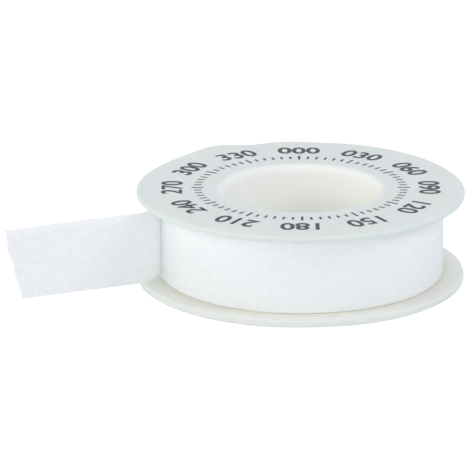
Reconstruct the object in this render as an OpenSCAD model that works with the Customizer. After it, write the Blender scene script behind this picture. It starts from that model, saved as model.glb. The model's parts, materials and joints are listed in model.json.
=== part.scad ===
// Roll of thread seal tape: a two-part snap-together spool, wound tape and a peeled free end.
// The underside of the spool lies on z = 0 and the bore runs along +Z through the origin.

/* [Spool] */
// Diameter of the bore through the spool
bore_d = 25.4; // [20:0.2:32]
// Rounding of the bore's two mouths
mouth_r = 1.4; // [0.4:0.1:1.7]
// Thickness of the lower flange
base_flange_t = 1.3; // [0.9:0.1:2]
// Thickness of the upper flange
cap_flange_t = 1; // [0.9:0.1:2]
// Rounding of the flange rims
rim_r = 0.4; // [0.1:0.05:0.4]
// How far the flanges reach past the wound tape
flange_margin = 3.4; // [1:0.1:8]
// Wall of the hub that the tape is wound on
hub_wall = 0.8; // [0.6:0.1:1.6]
// Wall of the sleeve that plugs into the hub
sleeve_wall = 0.8; // [0.6:0.1:1.6]

/* [Snap fit] */
// Radial play between the sleeve and the hub
sleeve_clear = 0.05; // [0.02:0.01:0.15]
// Height of the step in the bore that the sleeve comes down to, above the underside
step_h = 2.4; // [1.8:0.1:4]
// End play between the sleeve and that step
sleeve_end_play = 0.1; // [0.05:0.05:0.5]
// Lead-in chamfer on the sleeve's lower end
lead_in = 0.3; // [0.1:0.05:0.5]
// Section radius of the snap bead
bead_r = 0.4; // [0.25:0.05:0.5]
// How far the bead stands out of the sleeve
bead_out = 0.2; // [0.1:0.05:0.25]
// Height of the bead above the step
bead_rise = 2; // [1.2:0.1:6]

/* [Tape] */
// Width of the tape
tape_w = 12; // [6:0.5:25]
// Thickness of the tape as wound
tape_t = 0.092; // [0.07:0.001:0.2]
// Length of tape on the roll
tape_len = 12000; // [5000:500:20000]
// Play between the lower flange and the tape's lower edge
low_play = 0.2; // [0.05:0.05:1]
// Play between the tape's upper edge and the upper flange
top_play = 0.8; // [0.05:0.05:1.5]

/* [Free end] */
// Place of the peel line round the roll
peel_angle = 193; // [0:1:359]
// Angle at which the tape lifts off the roll there
lift_angle = 37; // [15:1:60]
// Radius of the curl next to the peel line
curl_r = 7.7; // [4:0.1:15]
// How far the curl turns the tape away from the roll
curl_turn = 43; // [10:1:60]
// Straight length past the curl, along the upper edge
tail_len = 22.6; // [8:0.2:60]
// How much shorter the lower edge is at the cut end
cut_back = 3.2; // [0:0.1:6]
// How far the rounded fold on the peel line stands proud of the film's two faces
fold_swell = 0.02; // [0.01:0.005:0.1]
// Clearance round that fold, in which the tail swings
peel_clear = 0.2; // [0.1:0.05:0.4]

/* [Hidden] */
$fn = 96;

// Sizes that follow from the tape and the bore
bore_r = bore_d / 2;
sleeve_r = bore_r + sleeve_wall;
socket_r = sleeve_r + sleeve_clear;
hub_r = socket_r + hub_wall;
wrap_clear = 0.05;
core_r = hub_r + wrap_clear;
wound_r = sqrt(core_r * core_r + tape_len * tape_t / PI);
flange_r = wound_r + flange_margin;
tape_z = base_flange_t + low_play;
cap_z = tape_z + tape_w + top_play;
spool_h = cap_z + cap_flange_t;
bead_z = step_h + bead_rise;
overrun = 1;

// The outermost turn: a spiral that climbs one tape thickness, with its seam at the peel line
turn_steps = 120;
layer_clear = 0.01;
seam_gap = 0.5;
fold_d = tape_t + 2 * fold_swell;
turn_r = wound_r - 2 * tape_t;
turn_start = degrees_at(seam_gap, wound_r);
turn_end = 360 - degrees_at(peel_clear + fold_d / 2, wound_r);

// The fold on the peel line, just clear of the turn that the tape lifts from
peel_r = wound_r - tape_t + peel_clear + fold_d / 2;
peel_pos = peel_r * heading(peel_angle);
root_heading = peel_angle + 90 - lift_angle;

// The cut end breaks its slant once: share of the cut-back and of the width, from the upper corner
cut_break_shares = [0.18, 0.32];

// A unit step in plan
function heading(a) = [cos(a), sin(a)];

// Angle of an arc of a given length
function degrees_at(arc, r) = arc / r * 180 / PI;

// Radius of the roll's surface under the outer turn, at an angle past the peel line
function under_turn(a) = turn_r + tape_t * a / 360;

// A point of the roll in plan
function on_roll(r, a) = r * heading(peel_angle + a);

// Points of the outer turn's inner and outer faces, from its start to its end
turn_step = 360 / turn_steps;
turn_angles = concat(turn_start, [for (i = [1:turn_steps - 1]) turn_step * i], turn_end);
turn_inside = [for (a = turn_angles) on_roll(under_turn(a) + layer_clear, a)];
turn_outside = [for (a = turn_angles) on_roll(under_turn(a) + tape_t, a)];

// Least gap of the turn to itself, measured between its first and its last quarter
quarter = turn_steps / 4;
turn_points = [for (i = [0:turn_steps]) [turn_inside[i], turn_outside[i]]];
self_gaps = [
    for (i = [0:quarter], j = [turn_steps - quarter:turn_steps], p = turn_points[i], q = turn_points[j])
        norm(p - q)
];
echo(least_gap_of_outer_turn = min(self_gaps));

// Half section of a flange: a plate from the bore's wall to a rounded rim
module flange_section(z, flange_t) {
    translate([bore_r, z])
        square([flange_r - rim_r - bore_r, flange_t]);
    translate([bore_r, z + rim_r])
        square([flange_r - bore_r, flange_t - 2 * rim_r]);
    for (rim_z = [z + rim_r, z + flange_t - rim_r])
        translate([flange_r - rim_r, rim_z])
            circle(r = rim_r);
}

// Corner of a bore's mouth that its rounding takes off, for a mouth that opens upwards
module mouth_section() {
    difference() {
        translate([bore_r - overrun, -mouth_r])
            square([mouth_r + overrun, mouth_r + overrun]);
        translate([bore_r + mouth_r, -mouth_r])
            circle(r = mouth_r);
    }
}

// Lower flange with the hub, its inner step and the groove for the snap bead
module spool_base() {
    color("#E4E9E6")
    rotate_extrude()
        difference() {
            union() {
                flange_section(0, base_flange_t);
                translate([bore_r, 0])
                    square([hub_r - bore_r, cap_z]);
            }
            translate([bore_r - overrun, step_h])
                square([socket_r - bore_r + overrun, cap_z]);
            translate([sleeve_r - bead_r + bead_out, bead_z])
                circle(r = bead_r + sleeve_clear);
            mirror([0, 1])
                mouth_section();
        }
}

// Upper flange with the sleeve that plugs into the hub and its snap bead
module spool_cap() {
    sleeve_z = step_h + sleeve_end_play;
    color("#DCE2E1")
    rotate_extrude()
        difference() {
            union() {
                flange_section(cap_z, cap_flange_t);
                translate([bore_r, sleeve_z])
                    square([sleeve_wall, spool_h - cap_flange_t / 2 - sleeve_z]);
                intersection() {
                    translate([sleeve_r - bead_r + bead_out, bead_z])
                        circle(r = bead_r);
                    translate([bore_r, bead_z - bead_r])
                        square([sleeve_wall + bead_r, 2 * bead_r]);
                }
            }
            translate([sleeve_r, sleeve_z])
                polygon([[-lead_in, 0], [overrun, 0], [overrun, lead_in], [0, lead_in]]);
            translate([0, spool_h])
                mouth_section();
        }
}

// Inner wraps, packed solid: their outside follows the spiral that the outer turn lies on
module tape_wraps() {
    outline = [for (i = [0:turn_steps]) on_roll(under_turn(turn_step * i), turn_step * i)];
    color("#E9EDF0")
    translate([0, 0, tape_z])
        difference() {
            linear_extrude(tape_w)
                polygon(outline);
            translate([0, 0, -overrun])
                cylinder(r = core_r, h = tape_w + 2 * overrun);
        }
}

// Last turn on the roll, one unbroken band from its seam round to the peel line
module tape_outer_turn() {
    color("#EEF2F4")
    translate([0, 0, tape_z])
        linear_extrude(tape_w)
            polygon(concat(turn_outside, [for (i = [turn_steps:-1:0]) turn_inside[i]]));
}

// Face of the straight part of the free end, with its slanted cut
module tail_face() {
    cut_x = tail_len - cut_back * cut_break_shares[0];
    cut_z = tape_w * (1 - cut_break_shares[1]);
    polygon([[0, 0], [tail_len - cut_back, 0], [cut_x, cut_z], [tail_len, tape_w], [0, tape_w]]);
}

// Free end: from its fold on the peel line it curls away from the roll, then runs straight to the cut
module tape_tail() {
    color("#E6EBEF")
    translate([peel_pos.x, peel_pos.y, tape_z])
        rotate(root_heading) {
            cylinder(d = fold_d, h = tape_w);
            translate([0, -curl_r, 0])
                rotate(90 - curl_turn) {
                    rotate_extrude(angle = curl_turn)
                        translate([curl_r - tape_t / 2, 0])
                            square([tape_t, tape_w]);
                    translate([curl_r + tape_t / 2, 0, 0])
                        rotate([90, 0, -90])
                            linear_extrude(tape_t)
                                tail_face();
                }
        }
}

spool_base();
spool_cap();
tape_wraps();
tape_outer_turn();
tape_tail();
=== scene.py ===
"""Looks of a roll of thread seal tape: a satin two-part spool, wound white film and its peeled free end.

Lengths are in metres in the part's own frame: the bore runs along Z and the roll lies on z = 0.
"""

import json
import math

import bpy
import numpy as np
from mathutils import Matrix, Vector, noise


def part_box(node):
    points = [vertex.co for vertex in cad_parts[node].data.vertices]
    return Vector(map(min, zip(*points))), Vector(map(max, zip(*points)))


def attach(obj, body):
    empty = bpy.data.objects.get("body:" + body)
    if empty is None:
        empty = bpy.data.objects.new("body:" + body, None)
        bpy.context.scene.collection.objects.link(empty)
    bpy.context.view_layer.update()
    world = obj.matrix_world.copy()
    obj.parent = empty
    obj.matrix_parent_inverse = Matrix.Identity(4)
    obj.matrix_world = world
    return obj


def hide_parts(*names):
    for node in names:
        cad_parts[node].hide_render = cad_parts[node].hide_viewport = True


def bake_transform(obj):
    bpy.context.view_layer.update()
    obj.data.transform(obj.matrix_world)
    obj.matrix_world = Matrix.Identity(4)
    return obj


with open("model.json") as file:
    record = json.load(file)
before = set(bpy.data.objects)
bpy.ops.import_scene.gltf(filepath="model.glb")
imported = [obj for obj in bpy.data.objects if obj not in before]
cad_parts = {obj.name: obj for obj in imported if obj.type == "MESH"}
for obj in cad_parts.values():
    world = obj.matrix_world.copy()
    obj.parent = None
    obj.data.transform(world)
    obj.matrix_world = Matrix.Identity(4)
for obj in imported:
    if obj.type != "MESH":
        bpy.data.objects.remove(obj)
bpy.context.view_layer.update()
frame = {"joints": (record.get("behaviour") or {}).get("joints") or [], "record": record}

MM = 0.001

# Sizes that the frame gives
base_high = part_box("spool_base")[1]
cap_low, cap_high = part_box("spool_cap")
wraps_low, wraps_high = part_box("tape_wraps")
peel_pos = Vector(frame["joints"][0]["pos_m"])
bore_r = next(m["dims"]["r_mm"] for m in frame["record"]["mounts"] if m["name"] == "bore") * MM
flange_r = base_high.x
cap_z = base_high.z
spool_h = cap_high.z
sleeve_z = cap_low.z
film_z = wraps_low.z
film_w = wraps_high.z - wraps_low.z
wound_r = -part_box("tape_outer_turn")[0].x
peel_angle = math.atan2(peel_pos.y, peel_pos.x) % math.tau

# Driving sizes of the spool's section, as in the part's source
MOUTH_ROUND = 1.4 * MM
RIM_ROUND = 0.4 * MM
BASE_FLANGE_T = 1.3 * MM
SLEEVE_WALL = 0.8 * MM
SLEEVE_PLAY = 0.05 * MM
HUB_WALL = 0.8 * MM
STEP_H = 2.4 * MM
LEAD_IN = 0.3 * MM
BEAD_R = 0.4 * MM
BEAD_OUT = 0.2 * MM
BEAD_Z = STEP_H + 2 * MM
WRAP_PLAY = 0.05 * MM
sleeve_r = bore_r + SLEEVE_WALL
socket_r = sleeve_r + SLEEVE_PLAY
hub_r = socket_r + HUB_WALL
bead_centre = sleeve_r - BEAD_R + BEAD_OUT

# Driving sizes of the film and of its free end
FILM_PITCH = 0.092 * MM
FILM_T = 0.086 * MM
LIFT_ANGLE = math.radians(37)
CURL_R = 7.7 * MM
CURL_TURN = math.radians(43)
TAIL_LEN = 22.6 * MM
CUT_BACK = 3.2 * MM
# The last of the turn, up to the peel line, is one piece with the free end
LYING_SHARE = 30 / 360


def linear(colour):
    """An sRGB hex colour as linear RGBA."""
    channels = [int(colour[i:i + 2], 16) / 255 for i in (1, 3, 5)]
    return (*[c / 12.92 if c <= 0.04045 else ((c + 0.055) / 1.055) ** 2.4 for c in channels], 1)


def add(tree, kind, settings, inputs):
    """Adds a node; an input is a value, a socket, a node (its first output), or a list of these."""
    node = tree.nodes.new(kind)
    for name, value in settings.items():
        setattr(node, name, value)
    for key, value in inputs.items():
        for one in value if isinstance(value, list) else [value]:
            if isinstance(one, bpy.types.Node):
                one = one.outputs[0]
            if isinstance(one, bpy.types.NodeSocket):
                tree.links.new(one, node.inputs[key])
            else:
                node.inputs[key].default_value = one
    return node


# Materials

def new_material(name):
    """A material with nothing in it yet."""
    material = bpy.data.materials.new(name)
    material.use_nodes = True
    material.node_tree.nodes.clear()
    return material, material.node_tree


# Where the spool's tones change: on the bore's lip, where its painted light starts, on the worn rim with its
# painted shade, and in the painted shade by the tape's foot
BORE_LIGHT_FADE = (1.5 * MM, 0.2 * MM)
RIM_WEAR_AND_SHADE_W = 0.5 * MM
FOOT_SHADE_FADE = (2 * MM, 0.4 * MM)
FOOT_SHADE_UNDER_TAPE = (-1 * MM, -0.5 * MM)
FOOT_SHADE_BELOW_FACE = (-0.4 * MM, -0.1 * MM)
# Flow lines have their own width at this radius and are drawn out along it
FLOW_R = 20 * MM
FLOW_DRAWN_OUT = 0.1
# Where film starts to let light through, before it leaves the roll
FREE_FADE = (-4 * MM, -1.5 * MM)


def per_size(size_mm):
    """Scale of a noise whose marks are about this many millimetres wide."""
    return 1 / (size_mm * MM)


def polypropylene(name, thin, foot_shade_share):
    """Polypropylene, injection moulded with a satin face.

    The bore's wall, with the hub and the tape behind it, is painted bright and creamy, which is painted
    light. The thin flanges are greyer and a little green, with a soft sheen, faint flow lines that run out
    from the hub, fine grain, and a rim that handling has left duller and whose cooler, darker tint is
    painted shade. Yellowish painted shade lies on the lower one along the foot of the tape.

    thin holds the two tones of the flange, and the last argument is how much of the painted shade at the
    tape's foot shows.
    """
    material, tree = new_material(name)
    place = add(tree, "ShaderNodeTexCoord", {}, {}).outputs["Object"]
    plan = add(tree, "ShaderNodeVectorMath", {"operation": "MULTIPLY"}, {0: place, 1: (1, 1, 0)})
    radius = add(tree, "ShaderNodeVectorMath", {"operation": "LENGTH"}, {0: plan}).outputs["Value"]
    way = add(tree, "ShaderNodeVectorMath", {"operation": "NORMALIZE"}, {0: plan})
    drawn_out = add(tree, "ShaderNodeMath", {"operation": "MULTIPLY"}, {0: radius, 1: FLOW_DRAWN_OUT})
    out = add(tree, "ShaderNodeCombineXYZ", {}, {"Z": drawn_out})
    ray = add(tree, "ShaderNodeVectorMath", {"operation": "MULTIPLY_ADD"}, {
        0: way,
        1: (FLOW_R, FLOW_R, FLOW_R),
        2: out,
    })
    flow = add(tree, "ShaderNodeTexNoise", {}, {"Vector": ray, "Scale": per_size(1.4), "Detail": 3})
    cloud = add(tree, "ShaderNodeTexNoise", {}, {"Vector": place, "Scale": per_size(6), "Detail": 2})
    grain = add(tree, "ShaderNodeTexNoise", {}, {"Vector": place, "Scale": per_size(0.25), "Detail": 3})
    both = add(tree, "ShaderNodeMix", {"data_type": "FLOAT"}, {"Factor": 0.5, 2: cloud, 3: flow})
    tone = add(tree, "ShaderNodeMapRange", {}, {"Value": both, "From Min": 0.3, "From Max": 0.7})
    milky = add(tree, "ShaderNodeMix", {"data_type": "RGBA"}, {
        "Factor": tone,
        6: linear(thin[0]),
        7: linear(thin[1]),
    })
    # Painted light: the bore's wall and lip are given a brighter, creamier tone than the flanges
    bore_light = add(tree, "ShaderNodeMapRange", {"interpolation_type": "SMOOTHSTEP"}, {
        "Value": radius,
        "From Min": bore_r + BORE_LIGHT_FADE[0],
        "From Max": bore_r + BORE_LIGHT_FADE[1],
    })
    moulded = add(tree, "ShaderNodeMix", {"data_type": "RGBA"}, {
        "Factor": bore_light,
        6: milky.outputs[2],
        7: linear("#F8F9F2"),
    })
    edge = add(tree, "ShaderNodeMapRange", {"interpolation_type": "SMOOTHSTEP"}, {
        "Value": radius,
        "From Min": flange_r - RIM_WEAR_AND_SHADE_W,
        "From Max": flange_r,
    })
    worn_and_shaded_rim = add(tree, "ShaderNodeMath", {"operation": "MULTIPLY"}, {0: edge, 1: grain})
    # Mask of the painted shade by the tape's foot: near the tape, on the lower flange's upper face, not
    # under the tape
    from_foot = add(tree, "ShaderNodeMath", {"operation": "SUBTRACT"}, {0: radius, 1: wound_r})
    near = add(tree, "ShaderNodeMapRange", {"interpolation_type": "SMOOTHSTEP"}, {
        "Value": from_foot,
        "From Min": FOOT_SHADE_FADE[0],
        "From Max": FOOT_SHADE_FADE[1],
        "To Max": foot_shade_share,
    })
    clear = add(tree, "ShaderNodeMapRange", {}, {
        "Value": from_foot,
        "From Min": FOOT_SHADE_UNDER_TAPE[0],
        "From Max": FOOT_SHADE_UNDER_TAPE[1],
    })
    upper = add(tree, "ShaderNodeMapRange", {}, {
        "Value": add(tree, "ShaderNodeSeparateXYZ", {}, {"Vector": place}).outputs["Z"],
        "From Min": BASE_FLANGE_T + FOOT_SHADE_BELOW_FACE[0],
        "From Max": BASE_FLANGE_T + FOOT_SHADE_BELOW_FACE[1],
    })
    on_flange = add(tree, "ShaderNodeMath", {"operation": "MULTIPLY"}, {0: clear, 1: upper})
    foot_shade_mask = add(tree, "ShaderNodeMath", {"operation": "MULTIPLY"}, {0: near, 1: on_flange})
    # Painted shade: the lower flange is tinted yellowish along the foot of the tape, where that corner lies
    # in shade
    foot_shaded = add(tree, "ShaderNodeMix", {"data_type": "RGBA"}, {
        "Factor": foot_shade_mask,
        6: moulded.outputs[2],
        7: linear("#E9E6D0"),
    })
    # Painted shade: the worn rim is tinted darker and cooler to tone down the light it catches; the added
    # roughness below is wear
    tint = add(tree, "ShaderNodeMix", {"data_type": "RGBA"}, {
        "Factor": worn_and_shaded_rim,
        6: foot_shaded.outputs[2],
        7: linear("#DDE6E3"),
    })
    satin = add(tree, "ShaderNodeMapRange", {}, {"Value": tone, "To Min": 0.5, "To Max": 0.62})
    rough = add(tree, "ShaderNodeMath", {"operation": "MULTIPLY_ADD"}, {0: worn_and_shaded_rim, 1: 0.2, 2: satin})
    lines = add(tree, "ShaderNodeBump", {}, {"Height": flow, "Strength": 0.15, "Distance": 0.02 * MM})
    skin_bump = add(tree, "ShaderNodeBump", {}, {
        "Height": grain,
        "Strength": 0.15,
        "Distance": 0.015 * MM,
        "Normal": lines,
    })
    skin = add(tree, "ShaderNodeBsdfPrincipled", {}, {
        "Base Color": tint.outputs[2],
        "Roughness": rough,
        "IOR": 1.49,
        "Specular IOR Level": 0.3,
        "Normal": skin_bump,
        "Subsurface Weight": 0.8,
        "Subsurface Radius": (1, 1, 0.9),
        "Subsurface Scale": 0.6 * MM,
    })
    add(tree, "ShaderNodeOutputMaterial", {}, {"Surface": skin})
    return material


def ptfe_film(name, leaves_at):
    """Unsintered PTFE film, calendered.

    Soft matt white with a bluish cast, faint streaks along its length and thin cloudy patches. Past
    leaves_at, where it leaves the roll, it is a single layer that lets some light through.
    """
    material, tree = new_material(name)
    film = add(tree, "ShaderNodeUVMap", {"uv_map": "film"}, {})
    stretched = add(tree, "ShaderNodeMapping", {}, {"Vector": film, "Scale": (0.15, 1, 1)})
    streak = add(tree, "ShaderNodeTexNoise", {}, {"Vector": stretched, "Scale": per_size(0.6), "Detail": 3})
    cloud = add(tree, "ShaderNodeTexNoise", {}, {"Vector": film, "Scale": per_size(1), "Detail": 3})
    both = add(tree, "ShaderNodeMix", {"data_type": "FLOAT"}, {"Factor": 0.3, 2: cloud, 3: streak})
    tone = add(tree, "ShaderNodeMapRange", {}, {"Value": both, "From Min": 0.3, "From Max": 0.7})
    tint = add(tree, "ShaderNodeMix", {"data_type": "RGBA"}, {
        "Factor": tone,
        6: linear("#EEF3F3"),
        7: linear("#F6F9F9"),
    })
    dull = add(tree, "ShaderNodeMapRange", {}, {"Value": tone, "To Min": 0.55, "To Max": 0.7})
    bump = add(tree, "ShaderNodeBump", {}, {"Height": streak, "Strength": 0.2, "Distance": 0.03 * MM})
    free = 0
    if leaves_at is not None:
        free = add(tree, "ShaderNodeMapRange", {}, {
            "Value": add(tree, "ShaderNodeSeparateXYZ", {}, {"Vector": film}),
            "From Min": leaves_at + FREE_FADE[0],
            "From Max": leaves_at + FREE_FADE[1],
        })
    skin = add(tree, "ShaderNodeBsdfPrincipled", {}, {
        "Base Color": tint.outputs[2],
        "Roughness": dull,
        "IOR": 1.35,
        "Specular IOR Level": 0.3,
        "Normal": bump,
        "Subsurface Weight": free,
        "Subsurface Radius": (1, 1, 1),
        "Subsurface Scale": 0.16 * MM,
    })
    add(tree, "ShaderNodeOutputMaterial", {}, {"Surface": skin})
    return material


def printing_ink():
    """Black ink, pad printed: thin and dull, a little patchy where the pad left less."""
    material, tree = new_material("printing_ink_pad_printed")
    place = add(tree, "ShaderNodeTexCoord", {}, {}).outputs["Object"]
    patch = add(tree, "ShaderNodeTexNoise", {}, {"Vector": place, "Scale": per_size(0.5), "Detail": 3})
    tint = add(tree, "ShaderNodeMix", {"data_type": "RGBA"}, {
        "Factor": patch,
        6: linear("#1C1D1F"),
        7: linear("#3A3C3E"),
    })
    dull = add(tree, "ShaderNodeMapRange", {}, {"Value": patch, "To Min": 0.5, "To Max": 0.75})
    skin = add(tree, "ShaderNodeBsdfPrincipled", {}, {"Base Color": tint.outputs[2], "Roughness": dull})
    add(tree, "ShaderNodeOutputMaterial", {}, {"Surface": skin})
    return material


# Geometry Nodes

SOCKET_KINDS = {
    "Geometry": "NodeSocketGeometry",
    "Material": "NodeSocketMaterial",
    "Count": "NodeSocketInt",
    "Size": "NodeSocketFloat",
}


def new_tree(name, sizes):
    """A Geometry Nodes tree with named inputs, and the outputs of its Group Input node."""
    tree = bpy.data.node_groups.new(name, "GeometryNodeTree")
    for size, kind in {"Geometry": "Geometry", "Material": "Material", **sizes}.items():
        tree.interface.new_socket(size, in_out="INPUT", socket_type=SOCKET_KINDS[kind])
    tree.interface.new_socket("Geometry", in_out="OUTPUT", socket_type="NodeSocketGeometry")
    return tree, add(tree, "NodeGroupInput", {}, {}).outputs


def end_tree(tree, given, shape):
    """Ends a tree: what it made is realised and given its material."""
    real = add(tree, "GeometryNodeRealizeInstances", {}, {"Geometry": shape})
    done = add(tree, "GeometryNodeSetMaterial", {}, {"Geometry": real, "Material": given["Material"]})
    add(tree, "NodeGroupOutput", {}, {"Geometry": done})
    return tree


def new_mesh(name, points, faces=()):
    """A mesh of points and faces, with neither for a tree that makes its own."""
    mesh = bpy.data.meshes.new(name)
    mesh.from_pydata(points, [], faces)
    return mesh


def grow(name, mesh, steps):
    """Runs trees one after another on a mesh, and returns the result as an object with a plain mesh."""
    obj = bpy.data.objects.new(name, mesh)
    bpy.context.scene.collection.objects.link(obj)
    for tree, values in steps:
        modifier = obj.modifiers.new(tree.name, "NODES")
        modifier.node_group = tree
        for item in tree.interface.items_tree:
            if item.in_out == "INPUT" and item.name in values:
                modifier[item.identifier] = values[item.name]
    return baked(obj)


def baked(obj):
    """Turns an object's modifiers into plain mesh, smooth but for edges where the surface turns a corner."""
    seen = obj.evaluated_get(bpy.context.evaluated_depsgraph_get())
    obj.data = bpy.data.meshes.new_from_object(seen)
    obj.modifiers.clear()
    obj.data.shade_smooth()
    obj.data.set_sharp_from_angle(angle=math.radians(40))
    return obj


def revolve_tree():
    """Turns the points of a half section, given in order, about Z into a closed solid."""
    tree, given = new_tree("revolve_section", {"Segments": "Count"})
    rings = add(tree, "GeometryNodeAttributeDomainSize", {}, {"Geometry": given["Geometry"]})
    points = rings.outputs["Point Count"]
    tall = add(tree, "ShaderNodeMath", {"operation": "ADD"}, {0: points, 1: 1})
    wide = add(tree, "ShaderNodeMath", {"operation": "ADD"}, {0: given["Segments"], 1: 1})
    grid = add(tree, "GeometryNodeMeshGrid", {}, {"Vertices X": tall, "Vertices Y": wide})
    index = add(tree, "GeometryNodeInputIndex", {}, {})
    rows = add(tree, "ShaderNodeMath", {"operation": "DIVIDE"}, {0: index, 1: wide})
    row = add(tree, "ShaderNodeMath", {"operation": "FLOOR"}, {0: rows})
    column = add(tree, "ShaderNodeMath", {"operation": "FLOORED_MODULO"}, {0: index, 1: wide})
    point = add(tree, "ShaderNodeMath", {"operation": "FLOORED_MODULO"}, {0: row, 1: points})
    place = add(tree, "GeometryNodeSampleIndex", {"data_type": "FLOAT_VECTOR"}, {
        "Geometry": given["Geometry"],
        "Value": add(tree, "GeometryNodeInputPosition", {}, {}),
        "Index": point,
    })
    share = add(tree, "ShaderNodeMath", {"operation": "DIVIDE"}, {0: column, 1: given["Segments"]})
    turn = add(tree, "ShaderNodeMath", {"operation": "MULTIPLY"}, {0: share, 1: math.tau})
    turned = add(tree, "ShaderNodeVectorRotate", {"rotation_type": "Z_AXIS"}, {
        "Vector": place,
        "Angle": turn,
    })
    solid = add(tree, "GeometryNodeSetPosition", {}, {"Geometry": grid, "Position": turned})
    closed = add(tree, "GeometryNodeMergeByDistance", {}, {"Geometry": solid, "Distance": 0.001 * MM})
    return end_tree(tree, given, add(tree, "GeometryNodeFlipFaces", {}, {"Mesh": closed}))


def hump_tree():
    """Bends a piece up or down in a soft hump at one angle, growing from one radius to another."""
    tree, given = new_tree("bend_hump", {
        "Height": "Size",
        "Angle": "Size",
        "Width": "Size",
        "Still radius": "Size",
        "Full radius": "Size",
    })
    place = add(tree, "GeometryNodeInputPosition", {}, {})
    axes = add(tree, "ShaderNodeSeparateXYZ", {}, {"Vector": place})
    angle = add(tree, "ShaderNodeMath", {"operation": "ARCTAN2"}, {
        0: axes.outputs["Y"],
        1: axes.outputs["X"],
    })
    past = add(tree, "ShaderNodeMath", {"operation": "SUBTRACT"}, {0: angle, 1: given["Angle"]})
    off = add(tree, "ShaderNodeMath", {"operation": "WRAP"}, {0: past, 1: math.pi, 2: -math.pi})
    widths = add(tree, "ShaderNodeMath", {"operation": "DIVIDE"}, {0: off, 1: given["Width"]})
    square = add(tree, "ShaderNodeMath", {"operation": "MULTIPLY"}, {0: widths, 1: widths})
    fall = add(tree, "ShaderNodeMath", {"operation": "MULTIPLY"}, {0: square, 1: -1})
    bell = add(tree, "ShaderNodeMath", {"operation": "EXPONENT"}, {0: fall})
    plan = add(tree, "ShaderNodeVectorMath", {"operation": "MULTIPLY"}, {0: place, 1: (1, 1, 0)})
    radius = add(tree, "ShaderNodeVectorMath", {"operation": "LENGTH"}, {0: plan}).outputs["Value"]
    reach = add(tree, "ShaderNodeMapRange", {"interpolation_type": "SMOOTHSTEP"}, {
        "Value": radius,
        "From Min": given["Still radius"],
        "From Max": given["Full radius"],
    })
    share = add(tree, "ShaderNodeMath", {"operation": "MULTIPLY"}, {0: bell, 1: reach})
    height = add(tree, "ShaderNodeMath", {"operation": "MULTIPLY"}, {0: share, 1: given["Height"]})
    lift = add(tree, "ShaderNodeCombineXYZ", {}, {"Z": height})
    bent = add(tree, "GeometryNodeSetPosition", {}, {"Geometry": given["Geometry"], "Offset": lift})
    return end_tree(tree, given, bent)


def wind_tree():
    """Winds film into a spiral, with its edges wandering a little up and down from turn to turn."""
    tree, given = new_tree("wind_film", {
        "Turns": "Size",
        "Points per turn": "Count",
        "First radius": "Size",
        "Last radius": "Size",
        "First angle": "Size",
        "Film thickness": "Size",
        "Film width": "Size",
        "Film base": "Size",
        "Wander": "Size",
        "Wander length": "Size",
    })
    spiral = add(tree, "GeometryNodeCurveSpiral", {}, {
        "Resolution": given["Points per turn"],
        "Rotations": given["Turns"],
        "Start Radius": given["First radius"],
        "End Radius": given["Last radius"],
        "Height": 0,
        "Reverse": True,
    })
    half = add(tree, "ShaderNodeMath", {"operation": "DIVIDE"}, {0: given["Film width"], 1: 2})
    middle = add(tree, "ShaderNodeMath", {"operation": "ADD"}, {0: given["Film base"], 1: half})
    placed = add(tree, "GeometryNodeTransform", {}, {
        "Geometry": spiral,
        "Translation": add(tree, "ShaderNodeCombineXYZ", {}, {"Z": middle}),
        "Rotation": add(tree, "ShaderNodeCombineXYZ", {}, {"Z": given["First angle"]}),
    })
    along = add(tree, "GeometryNodeSplineParameter", {}, {}).outputs["Length"]
    waves = add(tree, "ShaderNodeMath", {"operation": "DIVIDE"}, {0: along, 1: given["Wander length"]})
    ripple = add(tree, "ShaderNodeTexNoise", {"noise_dimensions": "1D"}, {
        "W": waves,
        "Scale": 1,
        "Detail": 2,
    })
    sway = add(tree, "ShaderNodeMapRange", {}, {"Value": ripple, "To Min": -1, "To Max": 1})
    height = add(tree, "ShaderNodeMath", {"operation": "MULTIPLY"}, {0: sway, 1: given["Wander"]})
    kept = add(tree, "GeometryNodeCaptureAttribute", {}, {"Geometry": placed})
    kept.capture_items.new("FLOAT", "Along")
    tree.links.new(along, kept.inputs["Along"])
    swayed = add(tree, "GeometryNodeSetPosition", {}, {
        "Geometry": kept,
        "Offset": add(tree, "ShaderNodeCombineXYZ", {}, {"Z": height}),
    })
    section = add(tree, "GeometryNodeCurvePrimitiveQuadrilateral", {}, {
        "Width": given["Film thickness"],
        "Height": given["Film width"],
    })
    ribbon = add(tree, "GeometryNodeCurveToMesh", {}, {
        "Curve": swayed,
        "Profile Curve": section,
        "Fill Caps": True,
    })
    place = add(tree, "GeometryNodeInputPosition", {}, {})
    film = add(tree, "ShaderNodeCombineXYZ", {}, {
        "X": kept.outputs["Along"],
        "Y": add(tree, "ShaderNodeSeparateXYZ", {}, {"Vector": place}).outputs["Z"],
    })
    mapped = add(tree, "GeometryNodeStoreNamedAttribute", {"data_type": "FLOAT2", "domain": "CORNER"}, {
        "Geometry": ribbon,
        "Name": "film",
        "Value": film,
    })
    return end_tree(tree, given, mapped)


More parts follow.
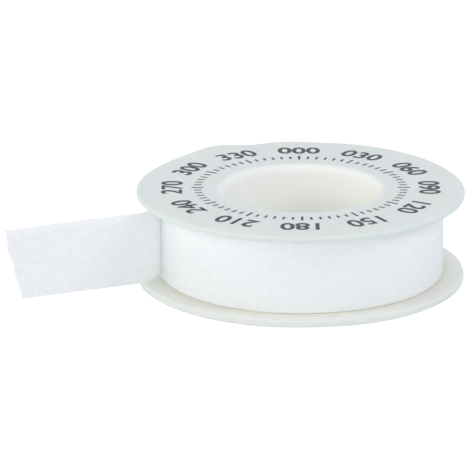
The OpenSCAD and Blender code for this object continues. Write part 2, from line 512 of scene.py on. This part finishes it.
def dial_tree():
    """Prints a ring of three-figure numerals, tops outwards, and a ring of ticks inside, in slabs of ink."""
    tree, given = new_tree("print_dial", {
        "Numerals": "Count",
        "Numeral step": "Count",
        "Numeral size": "Size",
        "Numeral radius": "Size",
        "Ink spread": "Size",
        "Ticks": "Count",
        "Tick width": "Size",
        "Tick length": "Size",
        "Long tick share": "Size",
        "Tick radius": "Size",
        "Print height": "Size",
        "Ink thickness": "Size",
    })
    first = add(tree, "GeometryNodeRepeatInput", {}, {})
    last = add(tree, "GeometryNodeRepeatOutput", {}, {})
    first.pair_with_output(last)
    tree.links.new(given["Numerals"], first.inputs["Iterations"])
    turn_no = first.outputs["Iteration"]
    number = add(tree, "ShaderNodeMath", {"operation": "MULTIPLY_ADD"}, {
        0: turn_no,
        1: given["Numeral step"],
        2: 1000,
    })
    figures = add(tree, "FunctionNodeValueToString", {"data_type": "INT"}, {0: number})
    three = add(tree, "FunctionNodeSliceString", {}, {"String": figures, "Position": 1, "Length": 3})
    drawn = add(tree, "GeometryNodeStringToCurves", {"align_x": "CENTER", "align_y": "MIDDLE"}, {
        "String": three,
        "Size": given["Numeral size"],
    })
    out = add(tree, "ShaderNodeCombineXYZ", {}, {"Y": given["Numeral radius"]})
    moved = add(tree, "GeometryNodeTransform", {}, {"Geometry": drawn, "Translation": out})
    share = add(tree, "ShaderNodeMath", {"operation": "DIVIDE"}, {0: turn_no, 1: given["Numerals"]})
    turn = add(tree, "ShaderNodeMath", {"operation": "MULTIPLY"}, {0: share, 1: -math.tau})
    turned = add(tree, "GeometryNodeTransform", {}, {
        "Geometry": moved,
        "Rotation": add(tree, "ShaderNodeCombineXYZ", {}, {"Z": turn}),
    })
    add_on = add(tree, "GeometryNodeJoinGeometry", {}, {0: [first.outputs["Geometry"], turned]})
    tree.links.new(add_on.outputs[0], last.inputs["Geometry"])
    outlines = add(tree, "GeometryNodeRealizeInstances", {}, {"Geometry": last})
    traced = add(tree, "GeometryNodeResampleCurve", {"mode": "EVALUATED"}, {"Curve": outlines})
    flat = add(tree, "GeometryNodeSetCurveNormal", {"mode": "Z_UP"}, {"Curve": traced})
    spread = add(tree, "ShaderNodeVectorMath", {"operation": "SCALE"}, {
        0: add(tree, "GeometryNodeInputNormal", {}, {}),
        "Scale": given["Ink spread"],
    })
    bold = add(tree, "GeometryNodeSetPosition", {}, {"Geometry": flat, "Offset": spread})
    filled_in = add(tree, "GeometryNodeFillCurve", {"mode": "TRIANGLES"}, {"Curve": bold})
    raised = add(tree, "GeometryNodeExtrudeMesh", {}, {
        "Mesh": filled_in,
        "Offset": (0, 0, 1),
        "Offset Scale": given["Ink thickness"],
        "Individual": False,
    })
    under = add(tree, "GeometryNodeFlipFaces", {}, {"Mesh": filled_in})
    slabs = add(tree, "GeometryNodeJoinGeometry", {}, {0: [raised, under]})
    numerals = add(tree, "GeometryNodeMergeByDistance", {}, {"Geometry": slabs, "Distance": 0.0005 * MM})
    ring = add(tree, "GeometryNodeMeshCircle", {}, {
        "Vertices": given["Ticks"],
        "Radius": given["Tick radius"],
    })
    block = add(tree, "GeometryNodeMeshCube", {}, {
        "Size": add(tree, "ShaderNodeCombineXYZ", {}, {
            "X": given["Tick width"],
            "Y": given["Tick length"],
            "Z": given["Ink thickness"],
        }),
    })
    place = add(tree, "GeometryNodeInputPosition", {}, {})
    facing = add(tree, "FunctionNodeAlignRotationToVector", {"axis": "Y"}, {"Vector": place})
    index = add(tree, "GeometryNodeInputIndex", {}, {})
    per_numeral = add(tree, "ShaderNodeMath", {"operation": "DIVIDE"}, {
        0: given["Ticks"],
        1: given["Numerals"],
    })
    past_numeral = add(tree, "ShaderNodeMath", {"operation": "FLOORED_MODULO"}, {0: index, 1: per_numeral})
    long_one = add(tree, "ShaderNodeMath", {"operation": "COMPARE"}, {0: past_numeral, 1: 0, 2: 0.1})
    length = add(tree, "ShaderNodeMapRange", {}, {
        "Value": long_one,
        "To Min": 1,
        "To Max": given["Long tick share"],
    })
    ticks = add(tree, "GeometryNodeInstanceOnPoints", {}, {
        "Points": ring,
        "Instance": block,
        "Rotation": facing,
        "Scale": add(tree, "ShaderNodeCombineXYZ", {}, {"X": 1, "Y": length, "Z": 1}),
    })
    half = add(tree, "ShaderNodeMath", {"operation": "DIVIDE"}, {0: given["Ink thickness"], 1: 2})
    on_ground = add(tree, "GeometryNodeTransform", {}, {
        "Geometry": ticks,
        "Translation": add(tree, "ShaderNodeCombineXYZ", {}, {"Z": half}),
    })
    lifted = add(tree, "GeometryNodeTransform", {}, {
        "Geometry": add(tree, "GeometryNodeJoinGeometry", {}, {0: [numerals, on_ground]}),
        "Translation": add(tree, "ShaderNodeCombineXYZ", {}, {"Z": given["Print height"]}),
    })
    return end_tree(tree, given, lifted)


# One plastic in two copies: the base's flange tones are paler and creamier than the cap's, as painted light
# for the warm light the lower flange picks up
cap_plastic = polypropylene("polypropylene_satin_moulded", ("#DFE4DF", "#E7EAE7"), 0)
base_plastic = polypropylene("polypropylene_satin_moulded_warm_lit_foot_shaded", ("#EAEAE3", "#F2F1EB"), 0.5)
film_white = ptfe_film("ptfe_film_wound", None)
film_single = ptfe_film("ptfe_film_single", LYING_SHARE * math.tau * wound_r)
ink = printing_ink()
revolve = revolve_tree()
hump = hump_tree()
wind = wind_tree()
dial = dial_tree()


# The spool

def arc(centre_r, centre_z, radius, first, last, steps=8):
    """Points of an arc in the half section, between two angles in degrees."""
    turns = [math.radians(first + (last - first) * i / steps) for i in range(steps + 1)]
    return [(centre_r + radius * math.cos(t), 0, centre_z + radius * math.sin(t)) for t in turns]


def filled(outline, step):
    """The outline with points added along its long straight runs."""
    points = []
    for a, b in zip(outline, outline[1:] + outline[:1]):
        a, b = Vector(a), Vector(b)
        count = max(1, round((b - a).length / step))
        points += [a.lerp(b, i / count) for i in range(count)]
    return points


def base_section():
    """Half section of the lower flange with the hub, its step and the groove for the snap bead."""
    groove_r = BEAD_R + SLEEVE_PLAY
    open_angle = math.degrees(math.acos((socket_r - bead_centre) / groove_r))
    return [
        *arc(bore_r + MOUTH_ROUND, MOUTH_ROUND, MOUTH_ROUND, 180, 270, 12),
        *arc(flange_r - RIM_ROUND, RIM_ROUND, RIM_ROUND, 270, 360),
        *arc(flange_r - RIM_ROUND, BASE_FLANGE_T - RIM_ROUND, RIM_ROUND, 0, 90),
        (hub_r, 0, BASE_FLANGE_T),
        (hub_r, 0, cap_z),
        (socket_r, 0, cap_z),
        *arc(bead_centre, BEAD_Z, groove_r, open_angle, -open_angle),
        (socket_r, 0, STEP_H),
        (bore_r, 0, STEP_H),
    ]


def cap_section():
    """Half section of the upper flange with the sleeve that plugs into the hub."""
    bead_angle = math.degrees(math.acos((sleeve_r - bead_centre) / BEAD_R))
    return [
        (bore_r, 0, sleeve_z),
        (sleeve_r - LEAD_IN, 0, sleeve_z),
        (sleeve_r, 0, sleeve_z + LEAD_IN),
        *arc(bead_centre, BEAD_Z, BEAD_R, -bead_angle, bead_angle),
        (sleeve_r, 0, cap_z),
        *arc(flange_r - RIM_ROUND, cap_z + RIM_ROUND, RIM_ROUND, 270, 360),
        *arc(flange_r - RIM_ROUND, spool_h - RIM_ROUND, RIM_ROUND, 0, 90),
        *arc(bore_r + MOUTH_ROUND, spool_h - MOUTH_ROUND, MOUTH_ROUND, 90, 180, 12),
    ]


def humps(heights, still_r, full_r, material):
    """Steps that bend a piece round the axis, each by (degrees, half width in degrees, height in mm)."""
    return [
        (hump, {
            "Angle": math.radians(angle),
            "Width": math.radians(width),
            "Height": height * MM,
            "Still radius": still_r,
            "Full radius": full_r,
            "Material": material,
        })
        for angle, width, height in heights
    ]


SPOOL_SEGMENTS = 192
SECTION_STEP = 1 * MM
# The thin rims have warped: the upper one is kicked up at the back left, with a dip beside it
CAP_WARP = [(123, 9, 0.45), (107.5, 7, -0.27), (153, 16, -0.2), (82, 9, -0.12), (18, 14, -0.12)]
BASE_WARP = [(275, 15, 0.14)]
warp_r = 22.6 * MM
foot_r = wound_r + 0.2 * MM
HALVES = {
    "spool_base": (base_section(), base_plastic, humps(BASE_WARP, foot_r, flange_r, base_plastic)),
    "spool_cap": (cap_section(), cap_plastic, humps(CAP_WARP, warp_r, flange_r, cap_plastic)),
}
for node, (section, plastic, warp) in HALVES.items():
    name = f"{node}_moulding"
    half = grow(name, new_mesh(name, filled(section, SECTION_STEP)), [
        (revolve, {"Segments": SPOOL_SEGMENTS, "Material": plastic}),
        *warp,
    ])
    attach(half, "roll")
    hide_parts(node)

INK_SINK = 0.006 * MM
marks = grow("flange_print", new_mesh("flange_print", []), [(dial, {
    "Numerals": 12,
    "Numeral step": 30,
    "Numeral size": 4.8 * MM,
    "Numeral radius": 21 * MM,
    "Ink spread": 0.11 * MM,
    "Ticks": 72,
    "Tick width": 0.38 * MM,
    "Tick length": 1.2 * MM,
    "Long tick share": 1.7,
    "Tick radius": 17 * MM,
    "Print height": spool_h - INK_SINK,
    "Ink thickness": 0.02 * MM,
    "Material": ink,
})])
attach(marks, "roll")


# The wound film

wraps_r = wound_r - FILM_PITCH
core_r = hub_r + WRAP_PLAY
wraps_turns = (wraps_r - core_r) / FILM_PITCH
# The wraps have settled on the lower flange, under the outer turn's edge
WRAPS_SETTLE = 0.15 * MM
# The outer turn rides up by the peel line and again at the front right, and sinks to the flange between
FILM_SWAY = [(205, 14, 0.13), (252, 22, -0.15), (293, 11, 0.13), (318, 10, -0.13)]
SWAY_FULL_R = 1 * MM


def film_sway(material):
    """Steps that let film ride up and down round the roll, over its whole thickness."""
    return humps(FILM_SWAY, 0.0, SWAY_FULL_R, material)


film_sizes = {
    "Film thickness": FILM_T,
    "Film width": film_w,
    "Film base": film_z,
    "Wander length": 40 * MM,
    "Material": film_white,
}
inner_r = core_r + FILM_PITCH / 2
seam_r = wraps_r - FILM_PITCH / 2
end_r = seam_r + FILM_PITCH * (1 - LYING_SHARE)
wraps = grow("tape_wraps_film", new_mesh("tape_wraps_film", []), [(wind, {
    **film_sizes,
    "Film base": film_z - WRAPS_SETTLE,
    "Turns": wraps_turns,
    "Points per turn": 72,
    "First radius": inner_r,
    "Last radius": seam_r,
    "First angle": peel_angle - math.tau * wraps_turns,
    "Wander": 0.05 * MM,
})])
turn = grow("tape_outer_turn_film", new_mesh("tape_outer_turn_film", []), [
    (wind, {
        **film_sizes,
        "Turns": 1 - LYING_SHARE,
        "Points per turn": 240,
        "First radius": seam_r,
        "Last radius": end_r,
        "First angle": peel_angle,
        "Wander": 0.0,
    }),
    *film_sway(film_white),
])
for film, node in ((wraps, "tape_wraps"), (turn, "tape_outer_turn")):
    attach(film, "roll")
    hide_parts(node)


# The free end

# How the film leaves the roll: the wedge under it, and how far it rides up there
TAKE_OFF = 0.32 * MM
ROOT_RISE = 0.28 * MM
ROOT_RISE_REACH = 2.5 * MM
# How the free film strays from its plain path: waves, its curled upper edge and a lean towards the end
WAVE = 0.12 * MM
WAVE_LENGTH = 6 * MM
EDGE_CURL = 0.3 * MM
EDGE_SHARE = 0.1
END_LEAN = 0.7 * MM
LOOSE_REACH = 8 * MM
# How far back the torn end draws the film's grid, and how ragged the tear is
TEAR_REACH = 6 * MM
TEAR_FRAY = 0.07 * MM


def heading(angle):
    """A unit step in plan."""
    return Vector((math.cos(angle), math.sin(angle), 0))


def tail_path(step):
    """Plan points of the free end's middle: lying on the roll, off it, round the curl and straight on."""
    lying = LYING_SHARE * math.tau
    lie_r = wraps_r + FILM_PITCH / 2
    take_off = TAKE_OFF / lie_r
    points = []
    count = round((lying - take_off) * lie_r / step)
    for i in range(count):
        back = lying + (take_off - lying) * i / count
        points.append((lie_r - FILM_PITCH * back / math.tau) * heading(peel_angle - back))
    root = peel_angle + math.pi / 2 - LIFT_ANGLE
    start = (lie_r - FILM_PITCH * take_off / math.tau) * heading(peel_angle - take_off)
    start_way = heading(peel_angle - take_off + math.pi / 2)
    hinge = Vector((peel_pos.x, peel_pos.y, 0))
    reach = (hinge - start).length
    count = 6
    for i in range(count):
        t = i / count
        points.append(
            start * (2 * t ** 3 - 3 * t ** 2 + 1)
            + start_way * reach * (t ** 3 - 2 * t ** 2 + t)
            + hinge * (3 * t ** 2 - 2 * t ** 3)
            + heading(root) * reach * (t ** 3 - t ** 2)
        )
    pivot = hinge + CURL_R * heading(root - math.pi / 2)
    count = round(CURL_R * CURL_TURN / step)
    for i in range(count):
        points.append(pivot + CURL_R * heading(root + math.pi / 2 - CURL_TURN * i / count))
    bend = pivot + CURL_R * heading(root + math.pi / 2 - CURL_TURN)
    count = round(TAIL_LEN / step)
    for i in range(count + 1):
        points.append(bend + TAIL_LEN * i / count * heading(root - CURL_TURN))
    return points


def cut_at(share):
    """How far the torn end stops short of the upper corner, at a share of the width down from it."""
    down_shares = (0, 0.13, 0.31, 0.43, 0.55, 0.68, 1)
    back_shares = (0.08, 0.15, 0.2, 0.41, 0.54, 0.63, 1)
    slant = CUT_BACK * float(np.interp(share, down_shares, back_shares))
    return slant + TEAR_FRAY * noise.noise(Vector((share * 11, 0.3, 0.7)))


def make_tail():
    """The free end, a little wavy, with its upper edge curled back and a torn end."""
    step = 0.4 * MM
    rows = 30
    path = tail_path(step)
    lengths = [0.0]
    for a, b in zip(path, path[1:]):
        lengths.append(lengths[-1] + (b - a).length)
    total = lengths[-1]
    root = total - TAIL_LEN - CURL_R * CURL_TURN
    points, film = [], []
    for j in range(rows + 1):
        share = j / rows
        short = cut_at(1 - share)
        for s in lengths:
            at = s
            if s > total - TEAR_REACH:
                at = total - TEAR_REACH + (s - total + TEAR_REACH) * (TEAR_REACH - short) / TEAR_REACH
            k = min(int(np.searchsorted(lengths, at, side="right")) - 1, len(path) - 2)
            p = path[k].lerp(path[k + 1], (at - lengths[k]) / (lengths[k + 1] - lengths[k]))
            way = (path[k + 1] - path[k]).normalized()
            back = Vector((way.y, -way.x, 0))
            loose = min(max((at - root) / LOOSE_REACH, 0), 1)
            wave = WAVE * noise.noise(Vector((at / WAVE_LENGTH, share * 1.2, 4.1)))
            curl = EDGE_CURL * max((share - 1 + EDGE_SHARE) / EDGE_SHARE, 0) ** 2
            far = max((at - root) / (total - root), 0)
            lean = END_LEAN * (0.5 - share) * far ** 2
            p = p + (loose * (wave + curl) + lean) * back
            rise = ROOT_RISE * math.exp(-((at - root) / ROOT_RISE_REACH) ** 2)
            points.append((p.x, p.y, film_z + rise + share * film_w))
            film.append((at, film_z + share * film_w))
    width = len(path)
    faces = [
        (j * width + i, j * width + i + 1, (j + 1) * width + i + 1, (j + 1) * width + i)
        for j in range(rows) for i in range(width - 1)
    ]
    mesh = new_mesh("tape_tail_film", points, faces)
    layer = mesh.uv_layers.new(name="film")
    for loop in mesh.loops:
        layer.data[loop.index].uv = film[loop.vertex_index]
    sheet = grow("tape_tail_film", mesh, film_sway(film_single))
    wall = sheet.modifiers.new("film_thickness", "SOLIDIFY")
    wall.thickness = FILM_T
    wall.offset = 0
    return baked(sheet), total


tail, tail_total = make_tail()
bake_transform(tail)
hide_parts("tape_tail")


# Floor, light and camera

FLOOR_HALF = 1.5
# The floor lies just under the roll, so that no two faces share a plane
FLOOR_DROP = 0.02 * MM


def seen_directly(tree):
    """1 where a ray comes from the camera, off a sheen or through glass, else 0."""
    rays = add(tree, "ShaderNodeLightPath", {}, {}).outputs
    direct = add(tree, "ShaderNodeMath", {"operation": "MAXIMUM"}, {
        0: rays["Is Camera Ray"],
        1: rays["Is Glossy Ray"],
    })
    return add(tree, "ShaderNodeMath", {"operation": "MAXIMUM"}, {
        0: direct,
        1: rays["Is Transmission Ray"],
    })


def make_floor():
    """A plain white floor that keeps a soft shadow."""
    corners = [(x * FLOOR_HALF, y * FLOOR_HALF, 0) for x, y in ((-1, -1), (1, -1), (1, 1), (-1, 1))]
    mesh = new_mesh("floor", corners, [(0, 1, 2, 3)])
    floor = bpy.data.objects.new("floor", mesh)
    floor.location.z = -FLOOR_DROP
    bpy.context.scene.collection.objects.link(floor)
    material, tree = new_material("floor_paper_white")
    glow = add(tree, "ShaderNodeEmission", {}, {"Color": (1, 1, 1, 1), "Strength": 0.88})
    dull = add(tree, "ShaderNodeBsdfDiffuse", {}, {"Color": (0.25, 0.25, 0.25, 1)})
    pale = add(tree, "ShaderNodeBsdfDiffuse", {}, {"Color": (0.92, 0.92, 0.92, 1)})
    shown = add(tree, "ShaderNodeAddShader", {}, {0: glow, 1: dull})
    both = add(tree, "ShaderNodeMixShader", {}, {0: seen_directly(tree), 1: pale, 2: shown})
    add(tree, "ShaderNodeOutputMaterial", {}, {"Surface": both})
    mesh.materials.append(material)


def make_world():
    """Soft light from all round, seen as plain white."""
    world = bpy.data.worlds.new("studio")
    world.use_nodes = True
    tree = world.node_tree
    tree.nodes.clear()
    ambient = add(tree, "ShaderNodeBackground", {}, {"Color": (0.96, 1, 1.1, 1), "Strength": 0.29})
    white = add(tree, "ShaderNodeBackground", {}, {"Color": (1, 1, 1, 1), "Strength": 1})
    both = add(tree, "ShaderNodeMixShader", {}, {0: seen_directly(tree), 1: ambient, 2: white})
    add(tree, "ShaderNodeOutputWorld", {}, {"Surface": both})
    bpy.context.scene.world = world


def aimed(obj, place, target):
    """Puts a lamp or camera at a place and points it at a target."""
    obj.location = place
    obj.rotation_mode = "QUATERNION"
    obj.rotation_quaternion = (Vector(target) - Vector(place)).to_track_quat("-Z", "Y")
    bpy.context.scene.collection.objects.link(obj)


def around(azimuth, elevation, distance, centre):
    """A place round a centre: azimuth 0 is the viewer's side."""
    a, e = math.radians(azimuth), math.radians(elevation)
    way = Vector((math.sin(a) * math.cos(e), -math.cos(a) * math.cos(e), math.sin(e)))
    return Vector(centre) + distance * way


make_floor()
make_world()
# A lamp's share is how bright it alone makes a white card that faces it
LAMPS = {
    "front": {"azimuth": 0, "elevation": 18, "size": 0.3, "share": 0.181, "colour": "#FFFBFD"},
    "front_left": {"azimuth": -30, "elevation": 8, "size": 0.3, "share": 0.086, "colour": "#FFFBFD"},
    "left": {"azimuth": -70, "elevation": 24, "size": 0.5, "share": 0.26, "colour": "#FFF9F0"},
    "left_back": {"azimuth": -110, "elevation": 15, "size": 0.5, "share": 0.1, "colour": "#F6FCFF"},
    "right": {"azimuth": 70, "elevation": 35, "size": 0.5, "share": 0.268, "colour": "#FAFAFF"},
    "right_back": {"azimuth": 110, "elevation": 15, "size": 0.5, "share": 0.088, "colour": "#F7F7FF"},
    "back": {"azimuth": 180, "elevation": 40, "size": 0.5, "share": 0.08, "colour": "#F0F9FF"},
    "top": {"azimuth": 0, "elevation": 88, "size": 0.5, "share": 0.207, "colour": "#F0FAFF"},
}
LAMP_DISTANCE = 1.0
middle = (0, 0, spool_h / 2)
for name, lamp in LAMPS.items():
    light = bpy.data.lights.new(name, "AREA")
    light.size = lamp["size"]
    light.energy = lamp["share"] * (math.pi * LAMP_DISTANCE) ** 2
    light.color = linear(lamp["colour"])[:3]
    place = around(lamp["azimuth"], lamp["elevation"], LAMP_DISTANCE, middle)
    aimed(bpy.data.objects.new(name, light), place, middle)

VIEW_ELEVATION = 17.77
VIEW_DISTANCE = 700 * MM
VIEW_AIM = (-10.81 * MM, 0, 7.07 * MM)
# Blender takes these two in millimetres
VIEW_SENSOR = 36
VIEW_LENS = 324.3
view = bpy.data.cameras.new("view")
view.sensor_width = VIEW_SENSOR
view.lens = VIEW_LENS
camera = bpy.data.objects.new("view", view)
aimed(camera, around(0, VIEW_ELEVATION, VIEW_DISTANCE, VIEW_AIM), VIEW_AIM)
bpy.context.scene.camera = camera
bpy.context.scene.view_settings.view_transform = "Standard"
# White surfaces pass light on many times, which is what lights the bore and the crease
bpy.context.scene.cycles.diffuse_bounces = 12
